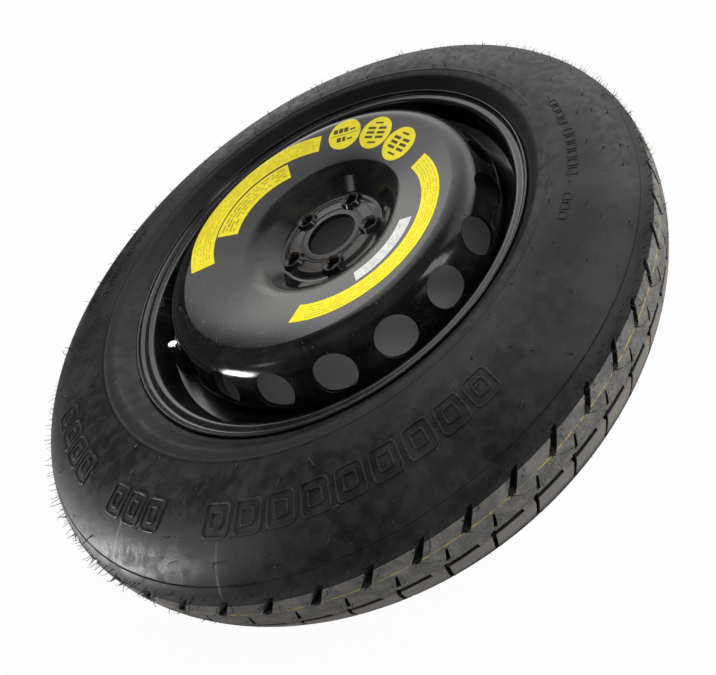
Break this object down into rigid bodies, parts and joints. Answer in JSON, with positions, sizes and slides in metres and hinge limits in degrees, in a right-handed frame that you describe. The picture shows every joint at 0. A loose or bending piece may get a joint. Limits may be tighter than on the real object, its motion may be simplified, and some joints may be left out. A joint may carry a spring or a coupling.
{
  "type": "space saver spare wheel",
  "caption": "Narrow temporary spare wheel: radial tyre on a pressed black steel wheel with a domed, vented disc, hub bore, bolt circle, snap-in valve and yellow labels.",
  "frame": {"origin": "centre of the wheel, on the spin axis, midway between the tyre's two sidewalls", "axes": "+Z along the spin axis towards the outboard face; the valve is near -X"},
  "size_m": [0.782, 0.782, 0.1692],
  "materials": {
    "tyre": "matt moulded rubber",
    "bead_wire": "drawn wire",
    "rim_paint": "gloss black coat",
    "disc_paint": "gloss black coat",
    "weld_paint": "gloss black coat",
    "stem_rubber": "satin rubber",
    "tube_brass": "plain brass",
    "core_brass": "plain brass",
    "seal_rubber": "satin rubber",
    "pin_brass": "plain brass",
    "spring_steel": "drawn wire",
    "cap_metal": "bright turned metal",
    "label_yellow": "printed film",
    "label_white": "printed film"
  },
  "bodies": {
    "wheel": {"tyre": "tyre", "bead_wire_out": "bead_wire", "bead_wire_in": "bead_wire", "rim": "rim_paint", "disc": "disc_paint", "welds": "weld_paint", "valve_stem": "stem_rubber", "valve_tube": "tube_brass", "core_body": "core_brass", "core_seal": "seal_rubber", "core_spring": "spring_steel", "label_outer": "label_yellow", "label_inner": "label_yellow", "label_right": "label_yellow", "label_strip": "label_white", "roundel_1": "label_yellow", "roundel_2": "label_yellow", "roundel_3": "label_yellow"},
    "pin": {"core_pin": "pin_brass", "pin_seal": "seal_rubber"},
    "cap": {"cap": "cap_metal", "cap_seal": "seal_rubber"}
  },
  "joints": [
    {"name": "cap_off", "type": "slide", "parent": "wheel", "child": "cap", "axis": [0.4034, -0.0113, 0.915], "range_m": [0, 0.014]},
    {"name": "pin_press", "type": "slide", "parent": "wheel", "child": "pin", "axis": [-0.4034, 0.0113, -0.915], "range_m": [0, 0.0012], "stiffness_N_per_m": 300, "springref_m": -0.003, "deforming": ["core_spring"]}
  ]
}
